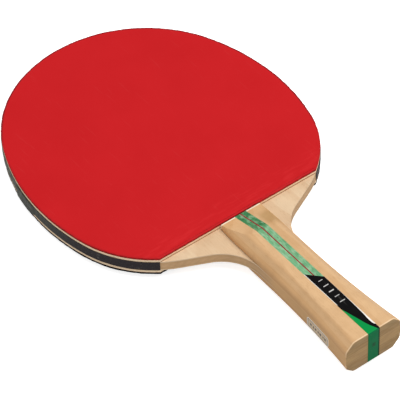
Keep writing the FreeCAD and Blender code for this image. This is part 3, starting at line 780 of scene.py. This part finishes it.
PATH = head_path()
AROUND = smooth_steps(PATH, CUT_STEP)
STRAIGHT = smooth_steps([PATH[-1], PATH[0]], CUT_STEP)[1:-1]
CUT_LINE = AROUND + STRAIGHT


def waver(distance, seed, pace):
    """A smooth random number from -1 to 1 along a cut."""
    return noise.noise(Vector((distance * pace, seed * 7.31, seed * 1.7)))


def cut_sheet(name, levels, unevenness, nick_depth, seed, material, down):
    """A sheet cut by hand along the blade: levels are (height, how far it stands back).

    unevenness is how far the cut wanders inwards, and nick_depth how deep its small tears
    are at the first level; they fade towards the last. down turns the sheet over.
    """
    dice = random.Random(seed)
    normals = outward(CUT_LINE, closed=True)
    nicks = [0.0] * len(CUT_LINE)
    for _ in range(len(CUT_LINE) // NICK_SPACING):
        middle, reach = dice.randrange(len(CUT_LINE)), dice.randint(1, 2)
        for k in range(-reach, reach + 1):
            spot = (middle + k) % len(nicks)
            nicks[spot] = max(nicks[spot], dice.uniform(0.3, 1.0) * nick_depth)
    shell = bmesh.new()
    rings = []
    for number, (height, back) in enumerate(levels):
        ring = []
        fade = 1 - number / max(len(levels) - 1, 1)
        for i, (point, normal) in enumerate(zip(CUT_LINE, normals)):
            shake = waver(i * CUT_STEP, seed, 900) * 0.6 + waver(i * CUT_STEP, seed + 3, 160)
            inset = back + unevenness * (0.5 + 0.5 * shake) + nicks[i] * fade
            spot = point - normal * inset
            z = -height if down else height
            ring.append(shell.verts.new((spot.x, spot.y, z)))
        rings.append(ring)
    join_rings(shell, rings)
    shell.faces.new(reversed(rings[0]))
    shell.faces.new(rings[-1])
    made = finished(name, shell, material)
    for face in made.data.polygons:
        face.use_smooth = len(face.vertices) == 4
    return made


# ---------------------------------------------------------------- the rubbers

def pip_field_tree():
    """Rows of pips on a three-way lattice inside an outline, cut flush at its edge."""
    tree = bpy.data.node_groups.new("pip_field", "GeometryNodeTree")
    sockets = tree.interface
    sockets.new_socket("Outline", in_out="INPUT", socket_type="NodeSocketGeometry")
    for name, kind in (("Pitch", "Float"), ("Radius", "Float"), ("Height", "Float"),
                       ("Columns", "Int"), ("Rows", "Int"), ("Seed", "Int"),
                       ("Rubber", "Material")):
        sockets.new_socket(name, in_out="INPUT", socket_type="NodeSocket" + kind)
    sockets.new_socket("Pips", in_out="OUTPUT", socket_type="NodeSocketGeometry")
    given = tree.nodes.new("NodeGroupInput").outputs

    def vector(operation, *values):
        """The result of one vector maths node."""
        made = add(tree, "ShaderNodeVectorMath", dict(enumerate(values)), operation=operation)
        return made.outputs["Value"] if operation == "DOT_PRODUCT" else made.outputs[0]

    def whole(count, step):
        """The length of a row with that many points."""
        return calc(tree, "MULTIPLY", calc(tree, "SUBTRACT", count, 1.0), step)

    row_step = calc(tree, "MULTIPLY", given["Pitch"], math.sqrt(3) / 2)
    grid = add(tree, "GeometryNodeMeshGrid", {
        "Size X": whole(given["Columns"], given["Pitch"]),
        "Size Y": whole(given["Rows"], row_step),
        "Vertices X": given["Columns"], "Vertices Y": given["Rows"],
    })
    box = add(tree, "GeometryNodeBoundBox", {"Geometry": given["Outline"]})
    centre = vector("SCALE", vector("ADD", box.outputs["Min"], box.outputs["Max"]))
    centre.node.inputs["Scale"].default_value = 0.5
    index = add(tree, "GeometryNodeInputIndex").outputs[0]
    odd = calc(tree, "FLOORED_MODULO", calc(tree, "FLOORED_MODULO", index, given["Rows"]), 2.0)
    shift = calc(tree, "MULTIPLY", odd, calc(tree, "MULTIPLY", given["Pitch"], 0.5))
    step = add(tree, "ShaderNodeCombineXYZ", {"X": shift}).outputs[0]
    lattice = add(tree, "GeometryNodeSetPosition", {
        "Geometry": grid.outputs["Mesh"], "Offset": vector("ADD", centre, step),
    }).outputs[0]

    here = add(tree, "GeometryNodeInputPosition").outputs[0]
    near = add(tree, "GeometryNodeProximity", {0: given["Outline"]}, target_element="EDGES")
    flat = (1, 1, 0)
    past = vector("MULTIPLY", vector("SUBTRACT", here, near.outputs["Position"]), flat)
    out = vector("MULTIPLY", vector("SUBTRACT", near.outputs["Position"], centre), flat)
    outside = calc(tree, "GREATER_THAN", vector("DOT_PRODUCT", past, out), 0.0)
    far = calc(tree, "GREATER_THAN", near.outputs["Distance"],
               calc(tree, "MULTIPLY", given["Radius"], 0.75))
    kept = add(tree, "GeometryNodeDeleteGeometry", {
        "Geometry": lattice, "Selection": calc(tree, "MULTIPLY", outside, far),
    }).outputs[0]
    pip = add(tree, "GeometryNodeMeshCone", {
        "Vertices": 8, "Radius Top": given["Radius"],
        "Radius Bottom": calc(tree, "MULTIPLY", given["Radius"], 0.88),
        "Depth": given["Height"],
    })
    spin = add(tree, "FunctionNodeRandomValue", {"Seed": given["Seed"]}, data_type="FLOAT")
    spin.inputs[2].default_value = 0.0
    spin.inputs[3].default_value = 0.7
    turn = add(tree, "ShaderNodeCombineXYZ", {"Z": spin.outputs[1]}).outputs[0]
    rows = add(tree, "GeometryNodeInstanceOnPoints", {
        "Points": kept, "Instance": pip.outputs["Mesh"], "Rotation": turn,
    }).outputs[0]
    solid = add(tree, "GeometryNodeRealizeInstances", {"Geometry": rows}).outputs[0]
    level = add(tree, "ShaderNodeSeparateXYZ", {"Vector": here}).outputs["Z"]
    edge = add(tree, "ShaderNodeSeparateXYZ", {"Vector": near.outputs["Position"]}).outputs
    flush = add(tree, "ShaderNodeCombineXYZ", {"X": edge["X"], "Y": edge["Y"], "Z": level})
    trimmed = add(tree, "GeometryNodeSetPosition", {
        "Geometry": solid, "Selection": outside, "Position": flush.outputs[0],
    }).outputs[0]
    painted = add(tree, "GeometryNodeSetMaterial", {
        "Geometry": trimmed, "Material": given["Rubber"],
    }).outputs[0]
    feed(tree, tree.nodes.new("NodeGroupOutput").inputs["Pips"], painted)
    return tree


PIP_FIELD = pip_field_tree()


def grown(name, carrier, tree, sizes):
    """The plain mesh that a Geometry Nodes tree makes from a carrier, as a new object."""
    modifier = carrier.modifiers.new(tree.name, "NODES")
    modifier.node_group = tree
    for socket in tree.interface.items_tree:
        if socket.name in sizes:
            modifier[socket.identifier] = sizes[socket.name]
    ready = carrier.evaluated_get(bpy.context.evaluated_depsgraph_get())
    mesh = bpy.data.meshes.new_from_object(ready)
    carrier.modifiers.remove(modifier)
    mesh.name = name
    made = bpy.data.objects.new(name, mesh)
    bpy.context.scene.collection.objects.link(made)
    return made


def lay_pips(name, down, material, seed):
    """The pips of one rubber, between its sponge and its skin, cut flush with the edge."""
    height = SHEET_LOW.z + PIP_HEIGHT / 2
    shell = bmesh.new()
    level = -height if down else height
    normals = outward(CUT_LINE, closed=True)
    back = 0.06 * MM
    ring = [shell.verts.new((*(p - n * back), level)) for p, n in zip(CUT_LINE, normals)]
    shell.faces.new(ring)
    carrier = finished(name + "_outline", shell, material)
    wide = (SHEET_HIGH.x - SHEET_LOW.x) / PIP_PITCH
    tall = (SHEET_HIGH.y - SHEET_LOW.y) / PIP_PITCH / (math.sqrt(3) / 2)
    spare = 3
    sunk = 0.04 * MM
    made = grown(name, carrier, PIP_FIELD, {
        "Pitch": PIP_PITCH, "Radius": PIP_RADIUS, "Height": PIP_HEIGHT + sunk,
        "Columns": math.ceil(wide) + spare, "Rows": math.ceil(tall) + spare, "Seed": seed,
        "Rubber": material,
    })
    bpy.data.objects.remove(carrier)
    return made


def cut_edge(low, foot, high, rim):
    """Levels of a cut edge in metres: foot is measured up from low, rim down from high."""
    return (
        [(low + height * MM, back * MM) for height, back in foot]
        + [(high - drop * MM, back * MM) for drop, back in rim]
    )


def make_rubber(side, slot_name, down, seed):
    """Sponge, pips and skin on one face of the blade."""
    sponge = cut_sheet(
        side + "_sponge_sheet",
        cut_edge(SPONGE_LOW.z, SPONGE_FOOT, SPONGE_HIGH.z, SPONGE_RIM),
        unevenness=0.12 * MM, nick_depth=0.08 * MM, seed=seed,
        material=FINISHES["sponge"], down=down,
    )
    skin = cut_sheet(
        side + "_rubber_skin",
        cut_edge(SHEET_LOW.z + PIP_HEIGHT, SKIN_FOOT, RUBBER_TOP, SKIN_RIM),
        unevenness=0.12 * MM, nick_depth=0.25 * MM, seed=seed + 1,
        material=FINISHES[slot_name], down=down,
    )
    pips = lay_pips(side + "_rubber_pips", down, FINISHES[slot_name], seed + 2)
    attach(sponge, BODY)
    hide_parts(side + "_sponge")
    for piece in (skin, pips):
        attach(piece, BODY)
    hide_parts(side + "_topsheet")


make_rubber("forehand", "red_rubber", down=False, seed=11)
make_rubber("backhand", "black_rubber", down=True, seed=41)


# ---------------------------------------------------------------- the edge tape

def band_strip(shell, points, normals, inner, outer, low, high):
    """A closed strip along points; inner, outer, low and high give its section at a step."""
    rings = []
    soft = 0.05 * MM
    for i, (point, normal) in enumerate(zip(points, normals)):
        near, far, foot, top = inner(i), outer(i), low(i), high(i)
        section = (
            (near, foot), (far - soft, foot), (far, foot + soft), (far, (foot + top) / 2),
            (far, top - soft), (far - soft, top), (near, top),
        )
        rings.append([
            shell.verts.new((*(point + normal * off), height)) for off, height in section
        ])
    join_rings(shell, rings)
    shell.faces.new(rings[0])
    shell.faces.new(reversed(rings[-1]))


def wrap_tape():
    """Tape round the head, its two edges a little wavy, with a lapped joint on the left.

    The lap is a second strip over the first. It lifts off and hangs lower, steeply at one
    end and in a long slant at the other.
    """
    normals = outward(AROUND, closed=False)
    film = TAPE_HIGH.x - SHEET_HIGH.x
    face = TAPE_HIGH.z

    def wave(i, seed, size, pace=55):
        """A wander of that size at step i."""
        return size * waver(i * CUT_STEP, seed, pace)

    shell = bmesh.new()
    band_strip(
        shell, AROUND, normals,
        lambda i: 0.0,
        lambda i: film + wave(i, 5, 0.05 * MM, 240),
        lambda i: -face + 0.28 * MM + wave(i, 6, 0.12 * MM),
        lambda i: face - 0.12 * MM + wave(i, 7, 0.12 * MM),
    )
    tape_band = finished("edge_tape_band", shell, FINISHES["tape"])
    half = len(AROUND) // 2
    lap = [i for i in range(half, len(AROUND)) if LAP_FOOT_Y < AROUND[i].y < LAP_TOP_Y]
    swell = [
        min(1.0, 0.25 + k * CUT_STEP / (1.5 * MM), (len(lap) - 1 - k) * CUT_STEP / (5 * MM))
        for k in range(len(lap))
    ]
    shell = bmesh.new()
    band_strip(
        shell, [AROUND[i] for i in lap], [normals[i] for i in lap],
        lambda k: film + 0.06 * MM,
        lambda k: film + 0.12 * MM + (film + 0.1 * MM) * swell[k],
        lambda k: -face + 0.1 * MM - LAP_DROP * swell[k],
        lambda k: face - 0.25 * MM,
    )
    lap_piece = finished("edge_tape_lap", shell, FINISHES["tape"])
    for piece in (tape_band, lap_piece):
        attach(piece, BODY)
    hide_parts("edge_tape")


wrap_tape()


# ---------------------------------------------------------------- camera, floor and light

def place_camera():
    """A long lens, high beyond the butt and to its left."""
    data = bpy.data.cameras.new("camera")
    data.sensor_width = 36.0
    data.lens = 232.89
    data.clip_end = 20.0
    camera = bpy.data.objects.new("camera", data)
    bpy.context.scene.collection.objects.link(camera)
    camera.location = (-0.51865, -0.730085, 0.92317)
    camera.rotation_euler = [math.radians(turn) for turn in (43.9391, 1.8768, -37.0509)]
    bpy.context.scene.camera = camera


def lay_floor():
    """Pale table that the paddle rests on, at the handle's crest and the tip of the rubber.

    It glows a little where the camera sees it, so that it is white, and is a plain pale
    surface to the light that it sends back.
    """
    rise = (SCALE_TOP - RUBBER_TOP) / (SHEET_HIGH.y - RAMP_CREST)
    bpy.ops.mesh.primitive_plane_add(size=8.0)
    floor = bpy.context.object
    floor.name = "floor"
    middle = (RAMP_CREST + SHEET_HIGH.y) / 2
    floor.location = (0, middle, -(SCALE_TOP + RUBBER_TOP) / 2)
    floor.rotation_euler = (math.atan(rise), 0, 0)
    material = bpy.data.materials.new("pale_table")
    material.use_nodes = True
    tree = material.node_tree
    shader = tree.nodes["Principled BSDF"]
    point = add(tree, "ShaderNodeTexCoord").outputs["Object"]
    grain = speckle(tree, point, 300.0, 2.0)
    feed(tree, shader.inputs["Base Color"], mix(tree, grain, (0.9, 0.9, 0.9, 1),
                                                (0.93, 0.93, 0.93, 1)))
    shader.inputs["Roughness"].default_value = 0.9
    shader.inputs["Specular IOR Level"].default_value = 0.0
    shader.inputs["Emission Color"].default_value = (1, 1, 1, 1)
    shader.inputs["Emission Strength"].default_value = 0.75
    bounce = add(tree, "ShaderNodeBsdfDiffuse", {"Color": (0.6, 0.6, 0.6, 1)})
    seen = add(tree, "ShaderNodeLightPath").outputs["Is Camera Ray"]
    both = add(tree, "ShaderNodeMixShader", {0: seen, 1: bounce.outputs[0],
                                             2: shader.outputs[0]})
    feed(tree, tree.nodes["Material Output"].inputs["Surface"], both.outputs[0])
    floor.data.materials.append(material)


def soft_box(name, spot, size, power):
    """A square soft light at that spot, aimed at the middle of the paddle."""
    data = bpy.data.lights.new(name, "AREA")
    data.size = size
    data.energy = power
    lamp = bpy.data.objects.new(name, data)
    bpy.context.scene.collection.objects.link(lamp)
    lamp.location = spot
    lamp.rotation_euler = (-Vector(spot)).to_track_quat("-Z", "Y").to_euler()


def light_room(fill):
    """An even white room, seen as pure white but lighting only at fill, and one soft key."""
    world = bpy.data.worlds.new("studio")
    world.use_nodes = True
    tree = world.node_tree
    sky = tree.nodes["Background"]
    sky.inputs["Color"].default_value = (1.0, 1.0, 1.0, 1.0)
    seen = add(tree, "ShaderNodeLightPath").outputs["Is Camera Ray"]
    feed(tree, sky.inputs["Strength"], calc(tree, "MULTIPLY_ADD", seen, 1.0 - fill, fill))
    bpy.context.scene.world = world
    soft_box("key", (0.32, -0.34, 1.35), size=1.2, power=15.0)


place_camera()
lay_floor()
light_room(fill=0.58)
bpy.context.scene.view_settings.view_transform = "Standard"
